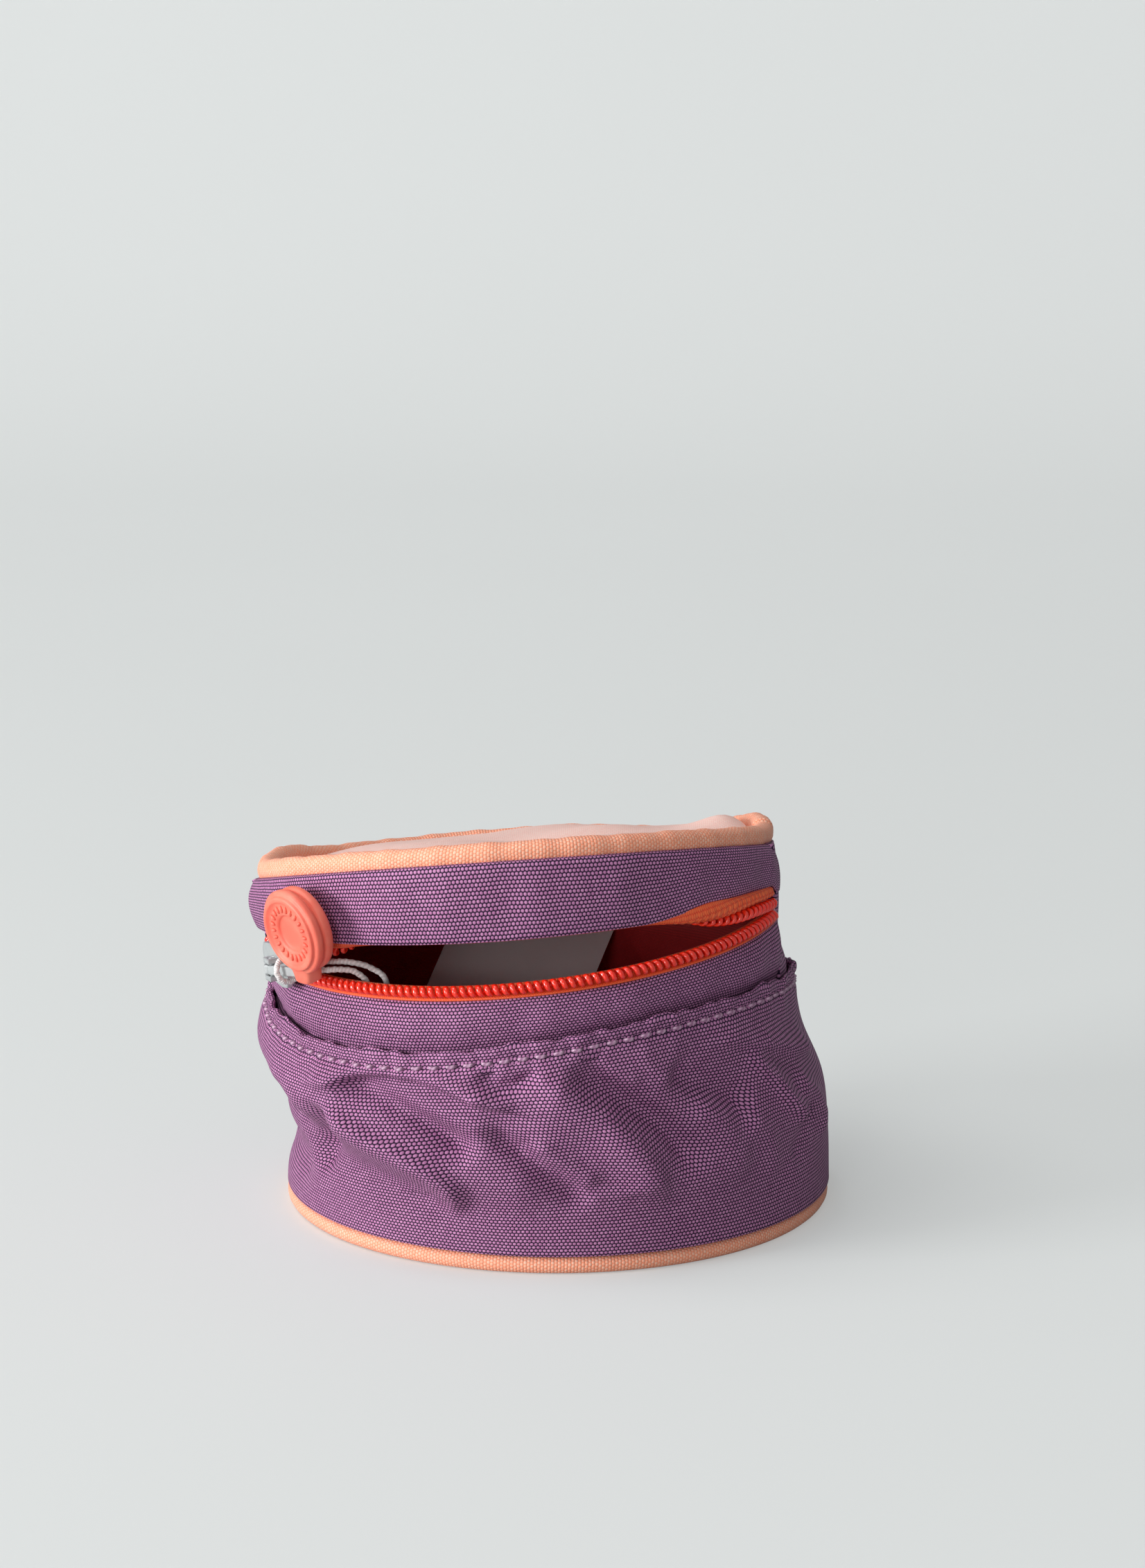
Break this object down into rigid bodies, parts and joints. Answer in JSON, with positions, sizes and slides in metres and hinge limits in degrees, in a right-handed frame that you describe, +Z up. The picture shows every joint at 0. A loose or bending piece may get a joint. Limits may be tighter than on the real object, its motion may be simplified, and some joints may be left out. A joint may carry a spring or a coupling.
{
  "type": "zip pouch",
  "caption": "Small round soft zip pouch with a half lifted padded lid, a coil zip round its front half and a round rubber zip pull.",
  "frame": {"origin": "centre of the base, on the surface that the pouch stands on", "axes": "+Z up; the front, where the zip opens, faces -Y; the zip's slider rests at the left, towards -X"},
  "size_m": [0.1029, 0.099, 0.0743],
  "materials": {
    "purple": "plain weave canvas",
    "peach": "plain weave canvas over foam",
    "coil_red": "glossy nylon coil on a woven tape",
    "lining_red": "thin smooth lining",
    "rubber_coral": "soft satin moulding",
    "zinc": "satin die casting",
    "cotton": "twisted cord",
    "card": "coated card",
    "board": "stiff sheet inside the base"
  },
  "bodies": {
    "pouch": {"base_panel": "peach", "base_piping": "peach", "base_stiffener": "board", "lining_base": "lining_red", "lining_wall": "lining_red", "body_wall": "purple", "lower_zip_band": "purple", "lower_zip_tape": "coil_red", "lower_coil": "coil_red", "back_panel": "purple", "lid_panel_back": "peach", "lid_piping_back": "peach", "lid_lining_back": "lining_red", "tag_card": "card", "tag_knot": "cotton"},
    "lid_flap": {"upper_band": "purple", "upper_zip_tape": "coil_red", "upper_coil": "coil_red", "lid_panel_front": "peach", "lid_piping_front": "peach", "lid_lining_front": "lining_red"},
    "slider": {"slider_body": "zinc", "pull_pin": "zinc", "tag_string": "cotton"},
    "pull": {"pull_link": "zinc", "pull_grip": "rubber_coral"}
  },
  "joints": [
    {"name": "lid_flap_hinge", "type": "hinge", "parent": "pouch", "child": "lid_flap", "pos_m": [-0.0084, -0.00664, 0.06509], "axis": [-0.9859, 0.1342, -0.0995], "range_deg": [-7.2, 85]},
    {"name": "slider_travel", "type": "hinge", "parent": "pouch", "child": "slider", "pos_m": [-0.0055, 0, 0.05175], "axis": [-0.0995, -0.0298, 0.9946], "range_deg": [0, 126], "deforming": ["upper_coil", "upper_zip_tape", "tag_string"]},
    {"name": "pull_flap", "type": "hinge", "parent": "slider", "child": "pull", "pos_m": [-0.0491, -0.02417, 0.04717], "axis": [0.0995, 0.0298, -0.9946], "range_deg": [0, 140]}
  ]
}
